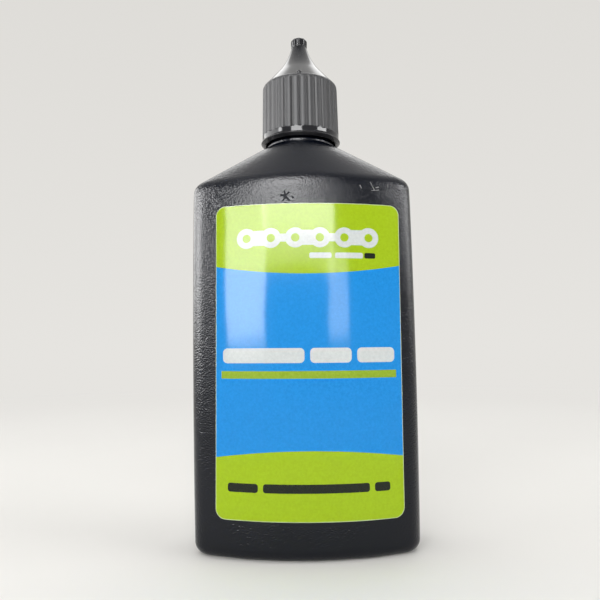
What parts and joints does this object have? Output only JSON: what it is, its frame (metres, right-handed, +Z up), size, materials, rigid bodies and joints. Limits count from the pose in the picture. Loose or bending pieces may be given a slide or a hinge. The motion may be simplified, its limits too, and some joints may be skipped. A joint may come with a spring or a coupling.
{
  "type": "chain lube bottle",
  "caption": "Flat black squeeze bottle for bicycle chain oil with a ribbed screw cap, pointed cone tip, nozzle insert and a front label.",
  "frame": {"origin": "centre of the base on its standing rim", "axes": "+Z up along the neck, +X to the right of the label, -Y out of the labelled front"},
  "size_m": [0.054, 0.0301, 0.1284],
  "materials": {
    "black_polyethylene": "fine-grained matt black, as blown",
    "natural_plastic": "milky natural polyethylene",
    "label_green": "glossy printed film",
    "label_blue": "glossy printed film",
    "label_white": "glossy printed film",
    "liner_foam": "soft white foam",
    "black_polypropylene": "glossy black"
  },
  "bodies": {
    "bottle": {"bottle": "black_polyethylene", "nozzle_insert": "natural_plastic", "front_label": "label_green", "label_blue": "label_blue", "label_bar": "label_green", "label_chain": "label_white"},
    "liner": {"cap_liner": "liner_foam"},
    "cap": {"cap": "black_polypropylene"}
  },
  "joints": [
    {"name": "cap_lift", "type": "slide", "parent": "bottle", "child": "liner", "axis": [0, 0, 1], "range_m": [0, 0.004]},
    {"name": "cap_turn", "type": "hinge", "parent": "liner", "child": "cap", "pos_m": [0, 0, 0.107], "axis": [0, 0, 1], "range_deg": [0, 450]}
  ],
  "couplings": [
    {"joint": "cap_lift", "follows": "cap_turn", "m_per_rad": 0.00050532}
  ]
}
